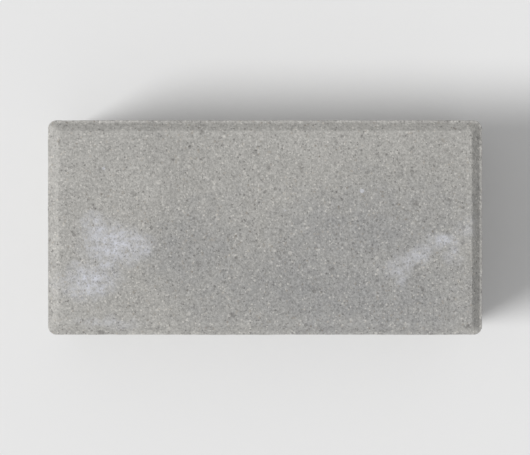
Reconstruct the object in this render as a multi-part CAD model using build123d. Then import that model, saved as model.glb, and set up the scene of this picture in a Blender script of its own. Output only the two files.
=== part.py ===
from build123d import *

import os

# Rectangular concrete paving stone with a bevelled wearing face, cast as one piece.
# Sizes are in millimetres. +X runs along the stone, +Y across it and +Z up to the
# wearing face. The origin is the middle of the bed face.

# Body
stone_length = 198.0
stone_width = 98.0
stone_height = 60.0
upright_corner_radius = 4.0

# Top edge: a bevel round the wearing face, and a level rim outside the bevel
bevel_width = 4.0
bevel_drop = 3.0
rim_width = 1.2
face_corner_radius = 1.5
face_arris_radius = 1.2
rim_arris_radius = 0.4

# Spacer ribs on the sides. Two neighbours touch at their ribs, which keeps the
# joint between them open.
joint_width = 2.0
rib_crest_width = 8.0
rib_flank_width = 2.5
rib_height = 45.0
rib_run_out = 6.0

# One stone and one joint make the laying module. Ribs a quarter of it from the
# middle meet the next row's ribs when the rows are shifted by half a stone, and
# meet an end rib when a stone is laid crosswise.
rib_offset = (stone_length + joint_width) / 4
rib_reach = joint_width / 2

rim_level = stone_height - bevel_drop


def block():
    """The stone up to its rim, with rounded upright corners and a softened top edge."""
    outline = RectangleRounded(stone_length, stone_width, upright_corner_radius)
    body = extrude(outline, rim_level)
    return fillet(body.edges().group_by(Axis.Z)[-1], rim_arris_radius)


def raised_face():
    """What stands above the rim: four bevels that rise to the wearing face."""
    foot_inset = 2 * rim_width
    face_inset = foot_inset + 2 * bevel_width
    foot_corner_radius = max(upright_corner_radius - rim_width, face_corner_radius)
    foot = RectangleRounded(
        stone_length - foot_inset, stone_width - foot_inset, foot_corner_radius
    )
    face = RectangleRounded(
        stone_length - face_inset, stone_width - face_inset, face_corner_radius
    )
    panel = loft(
        [Pos(0, 0, rim_level) * foot, Pos(0, 0, stone_height) * face], ruled=True
    )
    return fillet(panel.edges().group_by(Axis.Z)[-1], face_arris_radius)


def spacer_rib():
    """One rib on the plane X = 0, reaching towards +X, with sloped flanks and a sloped top."""
    root_width = rib_crest_width + 2 * rib_flank_width
    crest_height = rib_height - rib_run_out
    root = Pos(0, rib_height / 2) * Rectangle(root_width, rib_height)
    crest = Pos(0, crest_height / 2) * Rectangle(rib_crest_width, crest_height)
    return loft([Plane.YZ * root, Plane.YZ.offset(rib_reach) * crest], ruled=True)


def rib_places():
    """Where the ribs stand: one at the middle of each end, two on each long side."""
    for turn in (0, 180):
        yield Rot(0, 0, turn) * Pos(stone_length / 2, 0, 0)
        for along in (-rib_offset, rib_offset):
            yield Rot(0, 0, turn) * Pos(along, stone_width / 2, 0) * Rot(0, 0, 90)


def paving_stone():
    """The whole casting."""
    ribs = [place * spacer_rib() for place in rib_places()]
    return block() + raised_face() + ribs


os.makedirs("parts", exist_ok=True)
export_step(paving_stone(), "parts/paving_stone.step")
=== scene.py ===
"""Looks of a rectangular concrete paving stone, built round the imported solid.

Inside the classes sizes are in millimetres, as on a mould maker's drawing, and Blender gets
metres. +X runs along the stone, +Y across it and +Z up to the wearing face.
"""

from __future__ import annotations

import functools
import itertools
import logging
import math
from collections.abc import Iterator, Mapping
from dataclasses import dataclass
from enum import Enum
from typing import Any

import bpy
import numpy as np
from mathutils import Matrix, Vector
from mathutils.kdtree import KDTree
from numpy.typing import NDArray

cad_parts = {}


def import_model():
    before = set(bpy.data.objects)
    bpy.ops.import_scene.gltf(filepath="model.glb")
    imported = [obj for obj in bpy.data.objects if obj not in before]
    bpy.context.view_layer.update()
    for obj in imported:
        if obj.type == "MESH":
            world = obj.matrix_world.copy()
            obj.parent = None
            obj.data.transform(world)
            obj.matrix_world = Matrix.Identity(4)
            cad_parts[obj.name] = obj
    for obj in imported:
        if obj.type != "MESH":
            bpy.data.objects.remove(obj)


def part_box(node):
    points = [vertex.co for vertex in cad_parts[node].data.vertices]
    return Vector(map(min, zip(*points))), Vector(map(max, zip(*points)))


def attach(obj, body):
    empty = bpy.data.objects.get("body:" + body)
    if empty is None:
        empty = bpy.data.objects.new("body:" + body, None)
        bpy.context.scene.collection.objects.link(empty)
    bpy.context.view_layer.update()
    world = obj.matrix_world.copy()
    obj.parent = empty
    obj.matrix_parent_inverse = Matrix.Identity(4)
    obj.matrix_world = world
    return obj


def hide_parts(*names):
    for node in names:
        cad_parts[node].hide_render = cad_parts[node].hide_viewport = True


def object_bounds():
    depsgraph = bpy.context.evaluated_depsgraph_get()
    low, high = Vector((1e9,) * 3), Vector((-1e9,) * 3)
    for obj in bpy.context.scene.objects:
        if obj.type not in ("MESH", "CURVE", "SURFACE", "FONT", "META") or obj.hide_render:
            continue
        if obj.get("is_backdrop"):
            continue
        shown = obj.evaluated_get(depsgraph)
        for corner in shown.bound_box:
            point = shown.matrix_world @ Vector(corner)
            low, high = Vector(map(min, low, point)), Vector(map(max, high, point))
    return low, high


Array = NDArray[np.float64]
Numbers = NDArray[np.int64]
Flags = NDArray[np.bool_]
Pair = tuple[float, float]
Triple = tuple[float, float, float]
Box = tuple[Vector, Vector]

MM = 0.001
MAP_NAME = "OFBake"
MAP_PIXELS = 1024
BORDER = "border"
HOLLOW = "hollow"

log = logging.getLogger("paving_stone")


class Stretch(Enum):
    """The stretches of surface that pressing, handling and bedding leave different."""

    FACE = "face_share"
    BEVEL = "bevel_share"
    WALL = "wall_share"
    BED = "bed_share"
    EDGE = "edge_share"


@dataclass(frozen=True)
class MapPlace:
    """Where a stretch of surface lies on the baked picture.

    left and low are the picture's pixel at the stretch's own origin. fine is how many
    pixels each millimetre gets.
    """

    left: float
    low: float
    fine: float

    def spots(self, along: Array, up: Array) -> Array:
        """Finds places on the picture.

        Args:
            along: Distances along the stretch, in millimetres.
            up: Distances up the stretch, in millimetres.

        Returns:
            The places as shares of the picture's side, in pairs.
        """
        pixels = [self.left + along * self.fine, self.low + up * self.fine]
        return np.stack(pixels, axis=-1) / MAP_PIXELS


FACE_PLACE = MapPlace(left=8, low=8, fine=4.5)
WALL_PLACES = (
    MapPlace(left=8, low=457, fine=2.95),
    MapPlace(left=600, low=457, fine=2.95),
    MapPlace(left=8, low=634, fine=2.95),
    MapPlace(left=600, low=634, fine=2.95),
)
BED_PLACE = MapPlace(left=8, low=811, fine=2.1)


@dataclass
class Shell:
    """The stone's skin while it is put together, in millimetres.

    spots has a place on the baked picture for each corner of each face, in the faces' order.
    share says how much each point belongs to each stretch, border how near it lies to the
    wearing face's edge, and hollow how deep in a pore or nick.
    """

    points: Array
    faces: list[list[int]]
    spots: Array
    share: dict[Stretch, Array]
    border: Array
    hollow: Array

    def mesh(self, name: str) -> bpy.types.Mesh:
        """Makes Blender's mesh of the shell.

        Args:
            name: The mesh's name.

        Returns:
            The mesh, in metres, smooth and with the map that a bake goes through.
        """
        mesh = bpy.data.meshes.new(name)
        mesh.from_pydata((self.points * MM).tolist(), [], self.faces)
        mesh.shade_smooth()
        layer = mesh.uv_layers.new(name=MAP_NAME)
        layer.uv.foreach_set("vector", self.spots.astype(np.float32).ravel())
        return mesh

    def mark(self, mesh: bpy.types.Mesh) -> None:
        """Hands the mesh the numbers that its finish reads.

        Args:
            mesh: The mesh that was made of this shell.
        """
        marks = {stretch.value: share for stretch, share in self.share.items()}
        marks |= {BORDER: self.border, HOLLOW: self.hollow}
        for name, values in marks.items():
            attribute = mesh.attributes.new(name, "FLOAT", "POINT")
            attribute.data.foreach_set("value", values.astype(np.float32))


@dataclass(frozen=True)
class Lumps:
    """Smooth random lumps in space.

    size is a lump's width along X, Y and Z, and height how far the lumps stand over the
    hollows between them. The lumps come back after so many cells.
    """

    seed: int
    size: Triple
    height: float
    cells: int = 140

    def depth(self, points: Array) -> Array:
        """Says how far each place lies below the highest lump.

        Args:
            points: Places in millimetres, one row each.

        Returns:
            One depth for each place, from 0 to the lumps' height.
        """
        shape = (self.cells,) * 3
        depths = np.random.default_rng(self.seed).uniform(0, self.height, shape)
        places = points / np.array(self.size)
        cell = np.floor(places).astype(int)
        share = places - cell
        share = share * share * (3 - 2 * share)
        total = np.zeros(len(points))
        for corner in itertools.product((0, 1), repeat=3):
            weight = np.where(corner, share, 1 - share).prod(axis=1)
            total += weight * depths[tuple(((cell + corner) % self.cells).T)]
        return total


@dataclass(frozen=True)
class Dent:
    """One pore or nick, in millimetres."""

    middle: Vector
    radius: float
    depth: float

    def press(self, tree: KDTree, ragged: Array, hollow: Array) -> None:
        """Deepens the surface round the dent's middle.

        Args:
            tree: The surface's points.
            ragged: How much of its radius the dent has at each point.
            hollow: How deep each point lies in a dent so far, which this changes.
        """
        for _, index, distance in tree.find_range(self.middle, self.radius):
            deep = self.depth * (1 - (distance / (self.radius * ragged[index])) ** 2)
            hollow[index] = max(hollow[index], deep)


@dataclass(frozen=True)
class Scatter:
    """Dents of one kind, scattered at random in loose clusters.

    radius and depth run from the first number to the second, and the higher the power of
    smallness is, the more dents are near the first. cluster is the clusters' width, and
    the power of clustering says how strongly the dents keep to them.
    """

    seed: int
    count: int
    radius: Pair
    depth: Pair
    cluster: float = 14.0
    clustering: int = 4
    smallness: int = 3

    def dents(self, points: Array, allowed: Numbers) -> Iterator[Dent]:
        """Places the dents.

        Args:
            points: The surface's points.
            allowed: Which of them may be the middle of a dent.

        Yields:
            One dent after another.
        """
        chance = np.random.default_rng(self.seed)
        clusters = Lumps(self.seed, (self.cluster,) * 3, 1.0)
        weight = clusters.depth(points[allowed]) ** self.clustering
        places = chance.choice(allowed, self.count, replace=False, p=weight / weight.sum())
        for index in places:
            size = chance.uniform() ** self.smallness
            yield Dent(
                middle=Vector(points[index]),
                radius=float(np.interp(size, (0, 1), self.radius)),
                depth=float(np.interp(size, (0, 1), self.depth)),
            )


@dataclass(frozen=True)
class Relief:
    """How a stretch departs from the mould: lumps all over it, and pores or nicks in it."""

    lumps: tuple[Lumps, ...]
    dents: Scatter


RAGGED_LUMPS = Lumps(seed=51, size=(2.1, 2.1, 2.1), height=0.85)
RELIEFS = {
    Stretch.FACE: Relief(
        lumps=(
            Lumps(seed=11, size=(1.5, 1.5, 1.5), height=0.1),
            Lumps(seed=12, size=(3.1, 3.1, 3.1), height=0.05),
            Lumps(seed=13, size=(24.0, 24.0, 24.0), height=0.12),
        ),
        dents=Scatter(seed=14, count=90, radius=(0.9, 1.8), depth=(0.1, 0.4)),
    ),
    Stretch.WALL: Relief(
        lumps=(
            Lumps(seed=21, size=(1.9, 1.9, 1.9), height=0.24),
            Lumps(seed=22, size=(2.2, 2.2, 26.0), height=0.14),
            Lumps(seed=23, size=(8.0, 8.0, 14.0), height=0.14),
        ),
        dents=Scatter(seed=24, count=900, radius=(1.0, 3.2), depth=(0.3, 1.2)),
    ),
    Stretch.BED: Relief(
        lumps=(
            Lumps(seed=31, size=(4.2, 4.2, 4.2), height=0.35),
            Lumps(seed=32, size=(12.0, 12.0, 12.0), height=0.2),
        ),
        dents=Scatter(seed=34, count=170, radius=(2.2, 4.4), depth=(0.4, 1.3)),
    ),
    Stretch.EDGE: Relief(
        lumps=(
            Lumps(seed=41, size=(2.6, 2.6, 2.6), height=0.12),
            Lumps(seed=42, size=(9.0, 9.0, 9.0), height=0.16),
        ),
        dents=Scatter(seed=44, count=70, radius=(0.8, 2.4), depth=(0.12, 0.5)),
    ),
}
DENT_SHARE = 0.75
EASING_ROUNDS = 12


@dataclass
class PavingStone:
    """The whole casting: wearing face, bevels, rim, walls, spacer ribs and bed face.

    bed_fade is how far up the walls the bed's roughness shows. rub_reach is how far from an
    edge it is rubbed, and the four rubs say how much at the rim, face, bed and ribs.
    border_reach is how far the wearing face's border goes in. pitch is the mesh's spacing on
    the wearing face and along the walls, and wall_pitch its spacing down the walls. The bed
    face has every bed_step-th line of the wearing face.
    """

    length: float
    width: float
    height: float
    corner_radius: float = 4.0
    rim_width: float = 1.2
    rim_arris: float = 0.4
    bevel_width: float = 4.0
    bevel_drop: float = 3.0
    face_corner: float = 1.5
    face_arris: float = 1.2
    bed_arris: float = 0.5
    rib_crest: float = 8.0
    rib_flank: float = 2.5
    rib_height: float = 45.0
    rib_run_out: float = 6.0
    rib_reach: float = 1.0
    bed_fade: float = 3.0
    rub_reach: float = 0.9
    rim_rub: float = 1.0
    face_rub: float = 0.3
    bed_rub: float = 0.8
    rib_rub: float = 0.5
    border_reach: float = 4.0
    pitch: float = 0.7
    wall_pitch: float = 1.2
    bed_step: int = 3

    @classmethod
    def filling(cls, box: Box) -> PavingStone:
        """Makes the stone that fills the solid's box.

        Args:
            box: The box's lowest and highest corners, in metres.

        Returns:
            The stone.
        """
        span = (box[1] - box[0]) / MM
        ribs = 2 * cls.rib_reach
        return cls(length=span.x - ribs, width=span.y - ribs, height=span.z)

    @property
    def rim_level(self) -> float:
        """Height of the rim over the bed face."""
        return self.height - self.bevel_drop

    @property
    def wall_top(self) -> float:
        """Height at which the wall turns in to the rim."""
        return self.rim_level - self.rim_arris

    @property
    def face_inset(self) -> float:
        """Distance of the bevel's upper edge from the wall."""
        return self.rim_width + self.bevel_width

    @property
    def bevel_angle(self) -> float:
        """Angle of the bevel to the face."""
        return math.atan2(self.bevel_drop, self.bevel_width)

    @property
    def arris_reach(self) -> float:
        """How far the bevel's rounded upper edge reaches over the face."""
        return self.face_arris * math.tan(self.bevel_angle / 2)

    def edge_strips(self) -> Array:
        """Splits the way from the wall to just past the bevel into the mesh's strips.

        Returns:
            The strips' widths.
        """
        stretches = [
            (self.rim_arris, 2),
            (self.rim_width - self.rim_arris, 2),
            (self.bevel_width - self.arris_reach, 6),
            (2 * self.arris_reach, 3),
            (self.pitch, 1),
        ]
        return np.concatenate([np.full(count, width / count) for width, count in stretches])

    def lines(self, span: float) -> Array:
        """Spaces the mesh's lines across the stone, closest at its edges.

        Args:
            span: The stone's size across the lines.

        Returns:
            The lines' places, from minus half the span to half of it.
        """
        strips = self.edge_strips()
        middle = span - 2 * strips.sum()
        count = math.ceil(middle / self.pitch)
        count += -(count + 2 * len(strips)) % self.bed_step
        widths = np.concatenate([strips, np.full(count, middle / count), strips[::-1]])
        return np.concatenate([[0.0], np.cumsum(widths)]) - span / 2

    def top_level(self, inset: Array) -> Array:
        """Finds the height of the rim, bevel and face.

        Args:
            inset: Distances from the wall.

        Returns:
            One height over the bed face for each.
        """
        middle = self.face_inset + self.arris_reach
        start = middle - self.face_arris * math.sin(self.bevel_angle)
        rim_round = np.maximum(self.rim_arris**2 - (self.rim_arris - inset) ** 2, 0)
        face_round = np.maximum(self.face_arris**2 - (middle - inset) ** 2, 0)
        zones = [inset < self.rim_arris, inset < self.rim_width, inset < start, inset < middle]
        levels = [
            self.wall_top + np.sqrt(rim_round),
            np.full_like(inset, self.rim_level),
            self.rim_level + (inset - self.rim_width) * math.tan(self.bevel_angle),
            self.height - self.face_arris + np.sqrt(face_round),
        ]
        return np.select(zones, levels, self.height)

    def round_corners(self, x: Array, y: Array) -> tuple[Array, Array]:
        """Turns the square rings of a grid into rings with rounded corners.

        Args:
            x: The points' places along the stone.
            y: Their places across it.

        Returns:
            The new places along and across.
        """
        edge_x = self.length / 2 - np.abs(x)
        edge_y = self.width / 2 - np.abs(y)
        inset = np.minimum(edge_x, edge_y)
        stops = [0, self.rim_width, self.face_inset, self.face_inset + self.face_corner]
        radii = [self.corner_radius, self.corner_radius - self.rim_width, self.face_corner, 0]
        radius = np.interp(inset, stops, radii)
        near = np.abs(edge_x - edge_y) < radius
        turn = math.pi / 4 * (1 + (edge_x - edge_y) / np.where(near, radius, np.inf))
        round_x = self.length / 2 - inset - radius * (1 - np.cos(turn))
        round_y = self.width / 2 - inset - radius * (1 - np.sin(turn))
        new_x = np.where(near, np.sign(x) * round_x, x)
        new_y = np.where(near, np.sign(y) * round_y, y)
        return new_x, new_y

    def rib_stand(self, outline: Array, levels: Array) -> Array:
        """Finds how far the spacer ribs push the walls out.

        Args:
            outline: Places round the wall, one row each.
            levels: Heights over the bed face.

        Returns:
            A shift along X and Y for each height and place.
        """
        x, y = outline.T
        on_end = np.abs(x) > self.length / 2 - self.corner_radius
        quarter_module = (self.length + 2 * self.rib_reach) / 4
        aside = np.where(on_end, np.abs(y), np.abs(np.abs(x) - quarter_module))
        across = (self.rib_crest / 2 + self.rib_flank - aside) / self.rib_flank
        down = (self.rib_height - levels) / self.rib_run_out
        stand = self.rib_reach * np.clip(np.minimum(across, down[:, None]), 0, 1)
        out = np.where(on_end, [np.sign(x), 0 * y], [0 * x, np.sign(y)])
        return stand[:, :, None] * out.T

    def shell(self) -> Shell:
        """Builds the skin as the mould shapes it.

        Returns:
            The shell, with no relief yet.
        """
        grid_x, grid_y = np.meshgrid(
            self.lines(self.length), self.lines(self.width), indexing="ij"
        )
        inset = np.minimum(self.length / 2 - np.abs(grid_x), self.width / 2 - np.abs(grid_y))
        x, y = self.round_corners(grid_x, grid_y)
        face = np.stack([x, y, self.top_level(inset)], axis=-1)
        face_ids = np.arange(x.size).reshape(x.shape)
        around = round_the_edge(x.shape[0] - 1, x.shape[1] - 1)

        outline = face[around][:, :2]
        rows = math.ceil((self.wall_top - self.bed_arris) / self.wall_pitch)
        levels = np.linspace(self.wall_top, self.bed_arris, rows + 1)[1:]
        stands = self.rib_stand(outline, levels)
        sides = outline + stands
        heights = np.broadcast_to(levels[:, None, None], (*sides.shape[:2], 1))
        wall = np.concatenate([sides, heights], axis=-1)
        wall_ids = x.size + np.arange(rows * len(outline)).reshape(rows, -1)

        inner = (slice(self.bed_step, -self.bed_step, self.bed_step),) * 2
        bed = face[inner] * (1, 1, 0)
        first = x.size + wall_ids.size
        bed_ids = np.full(x.shape, -1)
        bed_ids[around] = wall_ids[-1]
        bed_ids[inner] = first + np.arange(bed[..., 0].size).reshape(bed.shape[:2])

        points = np.concatenate([part.reshape(-1, 3) for part in (face, wall, bed)])
        face_quads, face_spots = self._face_quads(face_ids, points)
        wall_quads, wall_spots = self._wall_quads(np.vstack([face_ids[around], wall_ids]), points)
        bed_faces, bed_spots = self._bed_faces(bed_ids, points)
        insets = np.zeros(len(points))
        insets[: x.size] = inset.ravel()
        rubbed = np.zeros(len(points))
        rubbed[x.size : first] = np.linalg.norm(stands, axis=-1).ravel() / self.rib_reach
        return Shell(
            points=points,
            faces=[*face_quads.tolist(), *wall_quads.tolist(), *bed_faces],
            spots=np.concatenate([face_spots, wall_spots, bed_spots]),
            share=self._shares(points[:, 2], insets, rubbed, np.arange(len(points)) >= first),
            border=np.exp(-np.abs(insets - self.face_inset) / self.border_reach),
            hollow=np.zeros(len(points)),
        )

    def _face_quads(self, ids: Numbers, points: Array) -> tuple[Numbers, Array]:
        """Joins the top's points.

        Args:
            ids: The points' numbers, by line along and line across.
            points: All points of the shell.

        Returns:
            The faces, and their corners' places on the baked picture.
        """
        corners = [ids[:-1, :-1], ids[1:, :-1], ids[1:, 1:], ids[:-1, 1:]]
        quads = np.stack(corners, axis=-1).reshape(-1, 4)
        x, y, _ = points[quads.ravel()].T
        return quads, FACE_PLACE.spots(x + self.length / 2, y + self.width / 2)

    def _wall_quads(self, ids: Numbers, points: Array) -> tuple[Numbers, Array]:
        """Joins the points of the four walls.

        Args:
            ids: The points' numbers, by row downwards and place round the stone.
            points: All points of the shell.

        Returns:
            The faces, and their corners' places on the baked picture.
        """
        after = np.roll(ids, -1, axis=1)
        quads = np.stack([ids[:-1], ids[1:], after[1:], after[:-1]], axis=-1)
        outline = points[ids[0], :2]
        steps = np.linalg.norm(np.roll(outline, -1, axis=0) - outline, axis=1)
        travelled = np.concatenate([[0.0], np.cumsum(steps)[:-1]])
        edge_x, edge_y = (np.array([self.length, self.width]) / 2 - np.abs(outline)).T
        turns = np.flatnonzero(np.isclose(edge_x, edge_y))
        side = np.searchsorted(turns, np.arange(len(outline)), side="right") - 1
        start = travelled - travelled[turns][side]
        along = np.stack([start, start, start + steps, start + steps], axis=-1)
        up = points[quads, 2]
        spots = np.empty((*quads.shape, 2))
        for number, place in enumerate(WALL_PLACES):
            mine = side == number
            wide = np.broadcast_to(along[mine], up[:, mine].shape)
            spots[:, mine] = place.spots(wide, up[:, mine])
        return quads.reshape(-1, 4), spots.reshape(-1, 2)

    def _bed_faces(self, ids: Numbers, points: Array) -> tuple[list[list[int]], Array]:
        """Joins the bed's points, and takes in every point of the walls' lowest row.

        Args:
            ids: The points' numbers, by line along and line across, or -1 for none.
            points: All points of the shell.

        Returns:
            The faces, and their corners' places on the baked picture.
        """
        step = self.bed_step
        faces = []
        for i, j in itertools.product(*(range(0, size - 1, step) for size in ids.shape)):
            ring = [(i, j + n) for n in range(step)]
            ring += [(i + n, j + step) for n in range(step)]
            ring += [(i + step, j + step - n) for n in range(step)]
            ring += [(i + step - n, j) for n in range(step)]
            faces.append([int(ids[place]) for place in ring if ids[place] >= 0])
        x, y, _ = points[np.concatenate(faces)].T
        return faces, BED_PLACE.spots(self.length / 2 - x, y + self.width / 2)

    def _shares(
        self, level: Array, inset: Array, rubbed: Array, on_bed: Flags
    ) -> dict[Stretch, Array]:
        """Says how much each point belongs to each stretch.

        Args:
            level: The points' heights.
            inset: Their distances from the wall, seen from above, and 0 on walls and bed.
            rubbed: How near each point is to the crest of a rib.
            on_bed: Which points are the bed's own.

        Returns:
            For each stretch one share from 0 to 1 for each point.
        """
        bed = np.interp(level, (self.bed_arris, self.bed_fade), (1, 0))
        bed = np.where(on_bed, 1.0, bed)
        face_rise = (self.wall_top - self.corner_radius, self.wall_top)
        face = np.interp(level, face_rise, (0, 1))
        from_rim = np.maximum(inset, self.rim_level - level) - self.rim_arris
        rubs = [
            self.rim_rub * np.exp(-np.maximum(from_rim, 0) / self.rub_reach),
            self.face_rub * np.exp(-(((inset - self.face_inset) / self.rub_reach) ** 2)),
            self.bed_rub * np.where(on_bed, 0.0, np.exp(-level / self.rub_reach)),
            self.rib_rub * rubbed,
        ]
        into_bevel = np.minimum(inset - self.rim_width, self.face_inset - inset)
        return {
            Stretch.FACE: face,
            Stretch.BEVEL: np.clip(into_bevel / self.rim_arris, 0, 1),
            Stretch.WALL: 1 - face - bed,
            Stretch.BED: bed,
            Stretch.EDGE: np.maximum.reduce(rubs),
        }

    def roughen(self, shell: Shell, out: Array) -> None:
        """Presses the lumps, pores and nicks into the skin.

        Args:
            shell: The shell, which this changes.
            out: The way out of the stone at each of its points.
        """
        tree = KDTree(len(shell.points))
        for index, point in enumerate(shell.points):
            tree.insert(point, index)
        tree.balance()
        depth = np.zeros(len(shell.points))
        ragged = 1 - RAGGED_LUMPS.depth(shell.points)
        for stretch, relief in RELIEFS.items():
            share = shell.share[stretch]
            depth += share * sum(lumps.depth(shell.points) for lumps in relief.lumps)
            allowed = np.flatnonzero(share > DENT_SHARE)
            for dent in relief.dents.dents(shell.points, allowed):
                dent.press(tree, ragged, shell.hollow)
        shell.points -= out * (depth + shell.hollow)[:, None]

    def piece(self, finish: ConcreteFinish) -> bpy.types.Object:
        """Builds and dresses the stone.

        Args:
            finish: What its surface looks like.

        Returns:
            The stone, in the scene.
        """
        shell = self.shell()
        smooth = shell.mesh("moulded_skin")
        out = ways_out(smooth)
        bpy.data.meshes.remove(smooth)
        self.roughen(shell, out)
        mesh = shell.mesh("cast_stone")
        shell.mark(mesh)
        mesh.materials.append(finish.material())
        return set_up("cast_stone", mesh)


def set_up(name: str, data: bpy.types.ID) -> bpy.types.Object:
    """Makes an object and puts it into the scene.

    Args:
        name: The object's name.
        data: Its mesh, light or camera.

    Returns:
        The object.
    """
    thing = bpy.data.objects.new(name, data)
    bpy.context.scene.collection.objects.link(thing)
    return thing


def ways_out(mesh: bpy.types.Mesh) -> Array:
    """Finds the way out of a skin at each point, and lets it turn slowly round the edges.

    A nick in an edge would fold the skin if the ways out on its two sides parted at once.

    Args:
        mesh: The skin.

    Returns:
        One way out for each point, of length 1.
    """
    normals = np.empty(3 * len(mesh.vertices), dtype=np.float32)
    mesh.vertex_normals.foreach_get("vector", normals)
    ends = np.empty(2 * len(mesh.edges), dtype=np.int32)
    mesh.edges.foreach_get("vertices", ends)
    start, end = ends.reshape(-1, 2).T
    out = normals.reshape(-1, 3).astype(float)
    for _ in range(EASING_ROUNDS):
        total = out.copy()
        np.add.at(total, start, out[end])
        np.add.at(total, end, out[start])
        out = total / np.linalg.norm(total, axis=1, keepdims=True)
    return out


def round_the_edge(columns: int, rows: int) -> tuple[Numbers, Numbers]:
    """Walks round the edge of a grid, counterclockwise from its low corner.

    Args:
        columns: How many steps the grid has along X.
        rows: How many it has along Y.

    Returns:
        The steps' numbers along X and Y.
    """
    front = [(i, 0) for i in range(columns)]
    right = [(columns, j) for j in range(rows)]
    back = [(i, rows) for i in range(columns, 0, -1)]
    left = [(0, j) for j in range(rows, 0, -1)]
    i, j = np.array(front + right + back + left).T
    return i, j


@dataclass(frozen=True)
class Signal:
    """A node's socket in a sum: each operation on it puts up its Math node."""

    board: NodeBoard
    socket: bpy.types.NodeSocket

    def __add__(self, other: Term) -> Signal:
        """Adds another term."""
        return self.board.maths("ADD", self, other)

    def __radd__(self, other: Term) -> Signal:
        """Adds this to another term."""
        return self.board.maths("ADD", other, self)

    def __sub__(self, other: Term) -> Signal:
        """Takes another term away."""
        return self.board.maths("SUBTRACT", self, other)

    def __rsub__(self, other: Term) -> Signal:
        """Takes this away from another term."""
        return self.board.maths("SUBTRACT", other, self)

    def __mul__(self, other: Term) -> Signal:
        """Multiplies by another term."""
        return self.board.maths("MULTIPLY", self, other)

    def __rmul__(self, other: Term) -> Signal:
        """Multiplies another term by this."""
        return self.board.maths("MULTIPLY", other, self)

    def largest(self, other: Term) -> Signal:
        """Takes the larger of this and another term."""
        return self.board.maths("MAXIMUM", self, other)

    def between(self, none: float, full: float) -> Signal:
        """Goes smoothly from 0 at one value to 1 at another, upwards or downwards.

        Args:
            none: The value that gives 0, as all beyond it do.
            full: The value that gives 1, as all beyond it do.

        Returns:
            The share.
        """
        settings = {"interpolation_type": "SMOOTHSTEP"}
        sockets = {"Value": self, "From Min": none, "From Max": full}
        return self.board.signal("ShaderNodeMapRange", settings, sockets)


Term = Signal | float
Key = str | int


def pick(sockets: bpy.types.bpy_prop_collection, key: Key) -> bpy.types.NodeSocket:
    """Finds a socket among those that a node has in use.

    Args:
        sockets: The node's inputs or outputs.
        key: The socket's name, or its number among those in use.

    Returns:
        The socket.
    """
    used = [socket for socket in sockets if socket.enabled]
    if isinstance(key, int):
        return used[key]
    return next(socket for socket in used if socket.name == key)


class NodeBoard:
    """The nodes of one material or of the world, while they are put up."""

    def __init__(self, owner: bpy.types.ID) -> None:
        """Clears the board.

        Args:
            owner: The material or world that the nodes belong to.
        """
        owner.use_nodes = True
        self.tree = owner.node_tree
        self.tree.nodes.clear()

    def node(
        self, kind: str, settings: Mapping[str, Any], sockets: Mapping[Key, Any]
    ) -> bpy.types.Node:
        """Puts up one node.

        Args:
            kind: The node's type.
            settings: Its own settings, which are set first.
            sockets: The values of its inputs, or the signals that feed them.

        Returns:
            The node.
        """
        node = self.tree.nodes.new(kind)
        for name, value in settings.items():
            setattr(node, name, value)
        for key, value in sockets.items():
            socket = pick(node.inputs, key)
            if isinstance(value, Signal):
                self.tree.links.new(value.socket, socket)
            elif socket.type == "RGBA":
                socket.default_value = (*value, 1.0)
            else:
                socket.default_value = value
        return node

    def signal(
        self,
        kind: str,
        settings: Mapping[str, Any],
        sockets: Mapping[Key, Any],
        output: Key = 0,
    ) -> Signal:
        """Puts up one node and takes what it gives.

        Args:
            kind: The node's type.
            settings: Its own settings.
            sockets: The values or signals of its inputs.
            output: Which of its outputs is taken.

        Returns:
            The output's signal.
        """
        return Signal(self, pick(self.node(kind, settings, sockets).outputs, output))

    def maths(self, operation: str, *terms: Term) -> Signal:
        """Puts up a Math node."""
        return self.signal("ShaderNodeMath", {"operation": operation}, dict(enumerate(terms)))

    def vector(self, operation: str, *terms: Any) -> Signal:
        """Puts up a Vector Math node."""
        settings = {"operation": operation}
        return self.signal("ShaderNodeVectorMath", settings, dict(enumerate(terms)))

    def mix(self, share: Term, low: Any, high: Any) -> Signal:
        """Blends two colours, which may be signals.

        Args:
            share: How much of the second there is.
            low: The first colour.
            high: The second colour.

        Returns:
            The blend.
        """
        settings = {"data_type": "RGBA"}
        return self.signal("ShaderNodeMix", settings, {"Factor": share, "A": low, "B": high})

    def noise(self, place: Signal, size: float, detail: float = 2.0) -> Signal:
        """Puts up smooth noise.

        Args:
            place: Where on the stone, in millimetres.
            size: The width of its lumps, in millimetres.
            detail: How many finer layers it has.

        Returns:
            Noise about 0, mostly within a quarter of it.
        """
        sockets = {"Vector": place, "Scale": 1 / size, "Detail": detail}
        return self.signal("ShaderNodeTexNoise", {}, sockets) - 0.5

    def pushed(self, place: Signal, size: float, reach: Triple) -> Signal:
        """Pushes places about by smooth noise.

        Args:
            place: Where on the stone, in millimetres.
            size: The width of the noise's lumps, in millimetres.
            reach: How far the noise pushes along X, Y and Z in all, in millimetres.

        Returns:
            The new places.
        """
        sockets = {"Vector": place, "Scale": 1 / size}
        push = self.signal("ShaderNodeTexNoise", {}, sockets, "Color")
        back = tuple(-length / 2 for length in reach)
        return self.vector("ADD", place, self.vector("MULTIPLY_ADD", push, reach, back))

    def attribute(self, name: str) -> Signal:
        """Reads a number that the mesh carries."""
        return self.signal("ShaderNodeAttribute", {"attribute_name": name}, {}, "Fac")


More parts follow.
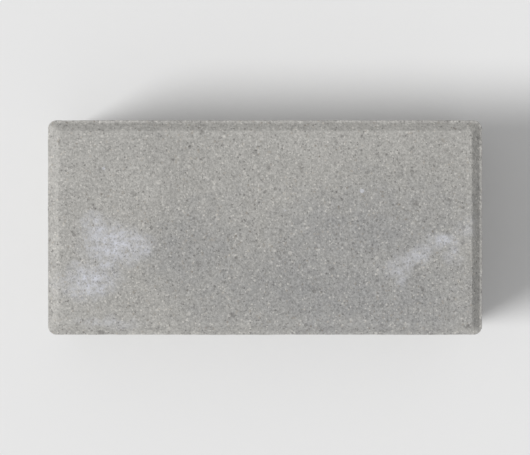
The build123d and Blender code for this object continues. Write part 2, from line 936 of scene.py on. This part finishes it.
@dataclass(frozen=True)
class Ground:
    """Where on the stone a shader looks, in millimetres: as it is, and pushed about.

    Shaken places make grains ragged, drifted ones make patches ragged, and upright ones draw
    streaks down the walls.
    """

    board: NodeBoard
    place: Signal
    shaken: Signal
    drifted: Signal
    upright: Signal

    @classmethod
    def on(cls, board: NodeBoard) -> Ground:
        """Finds the places.

        Args:
            board: The board for the nodes.

        Returns:
            The places.
        """
        metres = board.signal("ShaderNodeTexCoord", {}, {}, "Object")
        place = board.vector("SCALE", metres, 1 / MM)
        return cls(
            board=board,
            place=place,
            shaken=board.pushed(place, size=0.8, reach=(1.1, 1.1, 1.1)),
            drifted=board.pushed(place, size=7.0, reach=(10.0, 10.0, 0.0)),
            upright=board.vector("MULTIPLY", place, (1.0, 1.0, 0.06)),
        )


@dataclass(frozen=True)
class Cloud:
    """Smooth noise in a tone: its lumps' width in millimetres, and how strong it is."""

    size: float
    strength: float
    detail: float = 2.0


@dataclass(frozen=True)
class Discs:
    """Round spots, in millimetres: least and largest radius, and the width of the edge."""

    least: float
    most: float
    soft: float


@dataclass(frozen=True)
class Tint:
    """A colour that a few of the grains have.

    It sets in while a grain's random number goes from none to full, upwards or downwards.
    """

    colour: Triple
    none: float
    full: float
    strength: float

    def share(self, draw: Signal) -> Signal:
        """Says how much of the colour a grain has by its random number."""
        return draw.between(self.none, self.full) * self.strength


@dataclass(frozen=True)
class Cells:
    """Grains or spots, one in each cell of a loose packing.

    away is the distance from the nearest grain's middle in millimetres. draw and second are
    random numbers from 0 to 1, the same all over a cell.
    """

    away: Signal
    draw: Signal
    second: Signal

    @classmethod
    def packed(cls, place: Signal, size: float) -> Cells:
        """Packs space with cells.

        Args:
            place: Where on the stone, in millimetres.
            size: The cells' width, in millimetres.

        Returns:
            The cells.
        """
        board = place.board
        texture = board.node("ShaderNodeTexVoronoi", {}, {"Vector": place, "Scale": 1 / size})
        colour = Signal(board, pick(texture.outputs, "Color"))
        parts = board.node("ShaderNodeSeparateColor", {}, {"Color": colour})
        return cls(
            away=Signal(board, pick(texture.outputs, "Distance")) * size,
            draw=Signal(board, pick(parts.outputs, "Red")),
            second=Signal(board, pick(parts.outputs, "Green")),
        )

    def filled(self, discs: Discs) -> Signal:
        """Puts a disc in each cell.

        Args:
            discs: What the discs are like.

        Returns:
            1 inside the discs and 0 outside.
        """
        radius = discs.least + (discs.most - discs.least) * self.second
        return (radius - self.away).between(-discs.soft / 2, discs.soft / 2)


PATCH_DEPTH = 1000.0
PATCH_EDGE = (1.35, 0.15)


@dataclass(frozen=True)
class Patch:
    """A soft oval patch on the wearing face, in millimetres from its middle.

    along and across are half its length and width before it is turned, in degrees. Its
    outer and inner edge are shares of these, and it goes far below the face.
    """

    x: float
    y: float
    along: float
    across: float
    turn: float
    strength: float

    def cover(self, place: Signal) -> Signal:
        """Shades the patch.

        Args:
            place: Where on the stone, in millimetres.

        Returns:
            How much of the patch there is, from 0 to its strength.
        """
        board = place.board
        sockets = {
            "Vector": place,
            "Location": (self.x, self.y, 0.0),
            "Rotation": (0.0, 0.0, math.radians(self.turn)),
            "Scale": (self.along, self.across, PATCH_DEPTH),
        }
        inside = board.signal("ShaderNodeMapping", {"vector_type": "TEXTURE"}, sockets)
        away = board.signal("ShaderNodeVectorMath", {"operation": "LENGTH"}, {0: inside}, "Value")
        return away.between(*PATCH_EDGE) * self.strength


BLOOMS = (
    Patch(x=-69.0, y=-7.5, along=16.0, across=10.0, turn=-8, strength=1.0),
    Patch(x=-76.5, y=-0.5, along=8.0, across=6.0, turn=-50, strength=0.9),
    Patch(x=-57.0, y=-8.5, along=7.5, across=7.0, turn=0, strength=0.85),
    Patch(x=-79.5, y=-24.0, along=15.0, across=8.5, turn=8, strength=0.95),
    Patch(x=-71.0, y=-16.0, along=7.5, across=5.5, turn=40, strength=0.7),
    Patch(x=-72.0, y=-43.5, along=17.0, across=2.8, turn=0, strength=0.4),
    Patch(x=80.0, y=-6.0, along=8.0, across=4.5, turn=10, strength=0.95),
    Patch(x=69.0, y=-13.0, along=10.0, across=5.0, turn=32, strength=0.6),
    Patch(x=60.5, y=-17.5, along=8.0, across=4.5, turn=5, strength=0.5),
    Patch(x=63.0, y=-24.0, along=5.0, across=3.5, turn=60, strength=0.5),
    Patch(x=91.0, y=-0.5, along=7.0, across=5.0, turn=30, strength=0.28),
    Patch(x=85.0, y=-12.0, along=4.5, across=3.5, turn=-60, strength=0.45),
)
# Darker, cooler patches towards the lower right: partly damp, partly painted shade.
DAMP_AND_SHADE = (
    Patch(x=35.0, y=-30.0, along=78.0, across=28.0, turn=-4, strength=0.9),
    Patch(x=42.0, y=-8.0, along=50.0, across=32.0, turn=12, strength=0.7),
    Patch(x=-32.0, y=-6.0, along=32.0, across=26.0, turn=10, strength=0.55),
)
# Lighter, warmer patches towards the top and the left: partly dry, partly painted light.
DRY_AND_LIT = (
    Patch(x=-80.0, y=25.0, along=45.0, across=35.0, turn=0, strength=1.0),
    Patch(x=20.0, y=48.0, along=95.0, across=18.0, turn=0, strength=0.7),
    Patch(x=-92.0, y=-38.0, along=18.0, across=22.0, turn=0, strength=0.8),
)


def cover_of(patches: tuple[Patch, ...], place: Signal) -> Signal:
    """Shades several patches, and takes the strongest where they overlap.

    Args:
        patches: The patches.
        place: Where on the stone, in millimetres.

    Returns:
        How much there is of them.
    """
    return functools.reduce(Signal.largest, (patch.cover(place) for patch in patches))


QUARTZ = (0.62, 0.60, 0.56)
DARK_STONE = (0.13, 0.125, 0.12)
OCHRE = (0.34, 0.27, 0.19)
LIME = (0.60, 0.61, 0.66)
# Painted shade inside the pores, and the colour of the dark grains and gravel.
PORE_SHADE_AND_DARK_GRAIN = (0.12, 0.115, 0.11)
# Tone changes by stretch. The bevels' darkening is partly dirt, partly painted shade.
MARK_AND_SHADE_TONES = {
    Stretch.BEVEL.value: -0.045,
    Stretch.WALL.value: -0.03,
    Stretch.BED.value: -0.06,
    Stretch.EDGE.value: 0.10,
    BORDER: 0.04,
}


@dataclass(frozen=True)
class ConcreteFinish:
    """Pressed concrete: paste, sand, gravel, pores, rubbed edges and lime bloom.

    The cells are how far apart grains and pores lie. The contrasts and tones are the shares
    by which something makes the colour lighter or darker. open_pores are the random numbers
    between which a pore opens, and rough_pores is added to them away from the wearing face.
    open_voids are the depths between which a void darkens with painted shade, and void_fray how
    ragged it is. The pores' dark colour is painted shade too.
    The reliefs are heights and depths in the bump, as shares of bump_height.
    """

    warm_paste: Triple = (0.381, 0.373, 0.3545)
    cool_paste: Triple = (0.3575, 0.355, 0.35)
    clouds: tuple[Cloud, ...] = (
        Cloud(size=60.0, strength=0.12, detail=1.0),
        Cloud(size=9.0, strength=0.05),
        Cloud(size=2.4, strength=0.32),
        Cloud(size=1.2, strength=0.6),
    )
    # How much the dry patches and the damp ones, partly painted light and shade, change the
    # paste.
    dry_and_lit_share: float = 0.6
    damp_and_shade_tone: float = -0.13
    fines_cell: float = 0.45
    fines_contrast: float = 0.28
    sand_cell: float = 0.95
    sand: Discs = Discs(least=0.28, most=0.52, soft=0.16)
    sand_contrast: float = 0.4
    pale_sand: Tint = Tint(QUARTZ, none=0.88, full=0.91, strength=0.5)
    dark_sand: Tint = Tint(DARK_STONE, none=0.07, full=0.05, strength=0.4)
    ochre_sand: Tint = Tint(OCHRE, none=0.95, full=0.97, strength=0.22)
    stone_cell: float = 2.3
    stones: Discs = Discs(least=0.35, most=1.05, soft=0.3)
    stone_contrast: float = 0.22
    pale_stones: Tint = Tint(QUARTZ, none=0.94, full=0.96, strength=0.3)
    dark_stones: Tint = Tint(PORE_SHADE_AND_DARK_GRAIN, none=0.07, full=0.05, strength=0.3)
    gravel_cell: float = 7.5
    gravel: Discs = Discs(least=1.0, most=3.4, soft=0.8)
    gravel_contrast: float = 0.3
    gravel_tips: Discs = Discs(least=0.6, most=1.9, soft=1.0)
    dark_gravel: Tint = Tint(PORE_SHADE_AND_DARK_GRAIN, none=0.22, full=0.2, strength=0.42)
    pore_cell: float = 3.2
    pores: Discs = Discs(least=0.05, most=0.8, soft=0.3)
    open_pores: Pair = (0.88, 0.92)
    rough_pores: float = 0.38
    pore_shade_strength: float = 0.5
    bloom_cover: float = 0.62
    bloom_patches: float = 2.2
    grain_bloom: float = 0.5
    speck_cell: float = 17.0
    specks: Discs = Discs(least=0.2, most=1.0, soft=0.4)
    white_specks: Tint = Tint(LIME, none=0.5, full=0.55, strength=0.6)
    open_voids: Pair = (0.35, 0.75)
    void_fray: float = 0.9
    void_shade_tone: float = -0.3
    streak_tone: float = 0.2
    bump_height: float = 0.12
    grain_relief: float = 0.5
    rough_relief: float = 1.5
    void_relief: float = 1.5
    roughness: float = 0.9
    roughness_contrast: float = 0.3
    gloss: float = 0.3

    def material(self) -> bpy.types.Material:
        """Makes the finish's material.

        Returns:
            The material, which reads the numbers that the mesh carries.
        """
        material = bpy.data.materials.new("pressed_concrete")
        board = NodeBoard(material)
        ground = Ground.on(board)
        sand = Cells.packed(ground.shaken, self.sand_cell)
        grains = sand.filled(self.sand)
        wall = board.attribute(Stretch.WALL.value)
        rough = 1 - board.attribute(Stretch.FACE.value)
        pores = Cells.packed(ground.shaken, self.pore_cell)
        opened = (pores.draw + self.rough_pores * rough).between(*self.open_pores)
        pits = pores.filled(self.pores) * opened
        fray = self.void_fray * board.noise(ground.place, size=0.9)
        # The deep voids, which get painted shade and sink in the bump.
        voids = (board.attribute(HOLLOW) + fray).between(*self.open_voids)
        streaks = wall * board.noise(ground.upright, size=2.0)
        colour = self._paste(ground)
        colour = self._sand(ground, colour, sand, grains)
        colour = self._gravel(ground, colour, rough)
        # Painted shade inside the pores.
        colour = board.mix(pits * self.pore_shade_strength, colour, PORE_SHADE_AND_DARK_GRAIN)
        colour = self._lime(ground, colour, grains)
        # Painted shade in the voids and on the bevels, with the marks of pressing and use.
        colour = self._use_and_shade(colour, streaks, voids)
        drags = wall * board.noise(ground.upright, size=1.3)
        holes = pits * (1 + self.rough_relief * rough) + self.void_relief * voids
        grit = self.grain_relief * grains + board.noise(ground.place, size=0.5)
        grit = grit + drags - holes
        bump = {"Strength": 1.0, "Distance": self.bump_height * MM, "Height": grit}
        dull = self.roughness_contrast * board.noise(ground.place, size=2.0)
        sockets = {
            "Base Color": colour,
            "Roughness": self.roughness + dull,
            "Specular IOR Level": self.gloss,
            "Normal": board.signal("ShaderNodeBump", {}, bump),
        }
        shader = board.signal("ShaderNodeBsdfPrincipled", {}, sockets)
        board.node("ShaderNodeOutputMaterial", {}, {"Surface": shader})
        return material

    def _paste(self, ground: Ground) -> Signal:
        """Colours the cement paste, warmer and cooler, darker and lighter, with patches that are
        partly damp and dry and partly painted shade and painted light.

        Args:
            ground: Where on the stone.

        Returns:
            The colour.
        """
        board = ground.board
        place = ground.place
        # Damp patches with painted shade, less where dry patches with painted light lie.
        damp_and_shade = cover_of(DAMP_AND_SHADE, ground.drifted) - self.dry_and_lit_share * cover_of(DRY_AND_LIT, ground.drifted)
        damp_and_shade = damp_and_shade + board.noise(place, size=22.0) + board.noise(place, size=5.0)
        tone = 1 + self.damp_and_shade_tone * damp_and_shade
        for cloud in self.clouds:
            tone = tone + cloud.strength * board.noise(place, cloud.size, cloud.detail)
        return board.vector("SCALE", board.mix(damp_and_shade, self.warm_paste, self.cool_paste), tone)

    def _sand(self, ground: Ground, colour: Signal, sand: Cells, grains: Signal) -> Signal:
        """Sets sand grains and small stones into the paste.

        Args:
            ground: Where on the stone.
            colour: The paste's colour.
            sand: The cells of the sand grains.
            grains: The sand grains themselves.

        Returns:
            The colour with sand.
        """
        board = ground.board
        fines = Cells.packed(ground.shaken, self.fines_cell)
        coarse = Cells.packed(ground.shaken, self.stone_cell)
        stones = coarse.filled(self.stones)
        tone = 1 + grains * (sand.draw - 0.5) * self.sand_contrast
        tone = tone + (fines.draw - 0.5) * self.fines_contrast
        tone = tone + stones * (coarse.draw - 0.5) * self.stone_contrast
        colour = board.vector("SCALE", colour, tone)
        tinted = [
            (stones, coarse.draw, self.pale_stones),
            (stones, coarse.draw, self.dark_stones),
            (grains, sand.draw, self.pale_sand),
            (grains, sand.draw, self.dark_sand),
            (grains, sand.second, self.ochre_sand),
        ]
        for discs, draw, tint in tinted:
            colour = board.mix(discs * tint.share(draw), colour, tint.colour)
        return colour

    def _gravel(self, ground: Ground, colour: Signal, rough: Signal) -> Signal:
        """Lets the gravel under the skin show, on the wearing face as a few dark spots.

        Args:
            ground: Where on the stone.
            colour: The colour so far.
            rough: 1 away from the wearing face.

        Returns:
            The colour with gravel.
        """
        board = ground.board
        bent = board.pushed(ground.place, size=3.0, reach=(2.5, 2.5, 2.5))
        gravel = Cells.packed(bent, self.gravel_cell)
        stones = gravel.filled(self.gravel)
        tone = 1 + rough * stones * (gravel.draw - 0.5) * self.gravel_contrast
        dark = gravel.filled(self.gravel_tips) * self.dark_gravel.share(gravel.draw)
        return board.mix(dark, board.vector("SCALE", colour, tone), self.dark_gravel.colour)

    def _lime(self, ground: Ground, colour: Signal, grains: Signal) -> Signal:
        """Lays lime bloom and white specks over the colour.

        Args:
            ground: Where on the stone.
            colour: The colour so far.
            grains: The sand grains, which hold less bloom than the paste.

        Returns:
            The colour with bloom.
        """
        board = ground.board
        cover = cover_of(BLOOMS, ground.drifted) * (1 - self.grain_bloom * grains)
        patches = board.noise(ground.place, size=3.0, detail=3.0)
        patchy = self.bloom_cover + self.bloom_patches * patches
        face = board.attribute(Stretch.FACE.value)
        specks = Cells.packed(ground.place, self.speck_cell)
        dots = specks.filled(self.specks) * self.white_specks.share(specks.draw)
        return board.mix((cover * patchy * face).largest(dots), colour, LIME)

    def _use_and_shade(self, colour: Signal, streaks: Signal, voids: Signal) -> Signal:
        """Paints shade into pores and nicks, darkens the bevels with dirt and painted shade,
        darkens the bed, streaks the walls and rubs the edges lighter.

        Args:
            colour: The colour so far.
            streaks: Upright streaks on the walls.
            voids: How deep the pores and nicks are, which darkens them with painted shade.

        Returns:
            The colour with the marks of pressing and use, a lighter band round the wearing face's
            edge, and painted shade in the voids and on the bevels.
        """
        board = colour.board
        tone = 1 + self.streak_tone * streaks + self.void_shade_tone * voids
        for mark, change in MARK_AND_SHADE_TONES.items():
            tone = tone + change * board.attribute(mark)
        return board.vector("SCALE", colour, tone)


@dataclass(frozen=True)
class Floor:
    """A plain pale floor, clear from below so that the bed face can be seen.

    The part under the stone shows to the camera alone, and holds no light off the bed face.
    """

    reach: float = 3000.0
    corner_steps: int = 6
    colour: Triple = (0.8, 0.8, 0.8)

    def piece(self, stone: PavingStone) -> bpy.types.Object:
        """Lays the floor round the stone and under it.

        Args:
            stone: What stands on it.

        Returns:
            The floor, in the scene.
        """
        outlines = [self._outline(stone, reach) for reach in (self.reach, 0.0)]
        count = len(outlines[0])
        steps = [(n, (n + 1) % count) for n in range(count)]
        around = [(a, b, count + b, count + a) for a, b in steps]
        under = tuple(range(count, 2 * count))
        mesh = bpy.data.meshes.new("floor")
        mesh.from_pydata(list(itertools.chain(*outlines)), [], [*around, under])
        mesh.materials.append(self.material("floor", holds_light=True))
        mesh.materials.append(self.material("floor_under", holds_light=False))
        mesh.polygons[count].material_index = 1
        return set_up("floor", mesh)

    def _outline(self, stone: PavingStone, reach: float) -> list[Vector]:
        """Walks round the stone along its outline, or outside it.

        Args:
            stone: What stands on the floor.
            reach: How far outside the stone's outline the walk goes.

        Returns:
            Places on the floor, in metres.
        """
        radius = stone.corner_radius + reach
        places = []
        for x, y in ((1, 1), (-1, 1), (-1, -1), (1, -1)):
            corner = Vector((x * stone.length / 2, y * stone.width / 2, 0.0))
            middle = corner - stone.corner_radius * Vector((x, y, 0.0))
            for step in range(self.corner_steps + 1):
                turn = math.atan2(y, x) + math.pi / 2 * (step / self.corner_steps - 0.5)
                away = Vector((math.cos(turn), math.sin(turn), 0.0))
                places.append((middle + radius * away) * MM)
        return places

    def material(self, name: str, holds_light: bool) -> bpy.types.Material:
        """Makes a material of the floor, which is clear from below.

        Args:
            name: The material's name.
            holds_light: Whether it also stops the light that comes from below.

        Returns:
            The material.
        """
        material = bpy.data.materials.new(name)
        board = NodeBoard(material)
        top = board.signal("ShaderNodeBsdfDiffuse", {}, {"Color": self.colour})
        open_way = board.signal("ShaderNodeBsdfTransparent", {}, {})
        clear = board.signal("ShaderNodeNewGeometry", {}, {}, "Backfacing")
        if not holds_light:
            seen = board.signal("ShaderNodeLightPath", {}, {}, "Is Camera Ray")
            clear = clear.largest(1 - seen)
        shader = board.signal("ShaderNodeMixShader", {}, {0: clear, 1: top, 2: open_way})
        board.node("ShaderNodeOutputMaterial", {}, {"Surface": shader})
        return material


@dataclass(frozen=True)
class Daylight:
    """Soft light from the left of the picture, under a plain sky.

    along and across say how far the light leans for each unit that it comes down, and
    key_share how much of the light on a level surface comes from there.
    """

    along: float = 0.96
    across: float = 0.28
    key_share: float = 0.525
    softness: float = 25.0
    backdrop: Triple = (0.9, 0.9, 0.9)

    def lamp(self) -> bpy.types.Object:
        """Hangs the key light.

        Returns:
            The lamp, in the scene.
        """
        towards = Vector((-self.along, -self.across, 1.0)).normalized()
        light = bpy.data.lights.new("key", "SUN")
        light.energy = self.key_share * math.pi / towards.z
        light.angle = math.radians(self.softness)
        lamp = set_up("key", light)
        lamp.rotation_euler = towards.to_track_quat("Z", "Y").to_euler()
        return lamp

    def sky(self) -> bpy.types.World:
        """Makes the sky, which shows as a pale backdrop.

        Returns:
            The world.
        """
        world = bpy.data.worlds.new("sky")
        board = NodeBoard(world)
        rays = ("Is Camera Ray", "Is Glossy Ray", "Is Transmission Ray")
        seen = [board.signal("ShaderNodeLightPath", {}, {}, ray) for ray in rays]
        shows = functools.reduce(Signal.largest, seen)
        light = (1 - self.key_share,) * 3
        colour = board.mix(shows, light, self.backdrop)
        shader = board.signal("ShaderNodeBackground", {}, {"Color": colour, "Strength": 1.0})
        board.node("ShaderNodeOutputWorld", {}, {"Surface": shader})
        return world


@dataclass(frozen=True)
class Viewpoint:
    """A camera straight above the stone, as the photograph was taken.

    height is its distance from the wearing face, and view the width of face that it takes in.
    """

    height: float = 700.0
    view: float = 240.0

    def camera(self, stone: PavingStone) -> bpy.types.Object:
        """Hangs the camera.

        Args:
            stone: What it looks at.

        Returns:
            The camera, in the scene.
        """
        data = bpy.data.cameras.new("camera")
        data.lens = data.sensor_width * self.height / self.view
        camera = set_up("camera", data)
        camera.location = (0.0, 0.0, (stone.height + self.height) * MM)
        return camera


def main() -> None:
    """Builds the stone and the studio round it."""
    logging.basicConfig(level=logging.INFO, format="%(name)s: %(message)s")
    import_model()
    solid_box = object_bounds()

    stone = PavingStone.filling(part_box("paving_stone"))
    piece = stone.piece(ConcreteFinish())
    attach(piece, "root")
    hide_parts("paving_stone")
    log.info("%s: %d faces", piece.name, len(piece.data.polygons))

    floor = Floor().piece(stone)
    floor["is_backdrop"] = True
    log.info("%s: round the stone and under it", floor.name)

    scene = bpy.context.scene
    daylight = Daylight()
    lamp = daylight.lamp()
    scene.world = daylight.sky()
    scene.camera = Viewpoint().camera(stone)
    scene.view_settings.view_transform = "Standard"
    log.info("%s, %s, %s: light and view", lamp.name, scene.world.name, scene.camera.name)

    boxes = {"solid": solid_box, "visual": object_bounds()}
    {name: [list(corner) for corner in box] for name, box in boxes.items()}


if __name__ == "__main__":
    main()
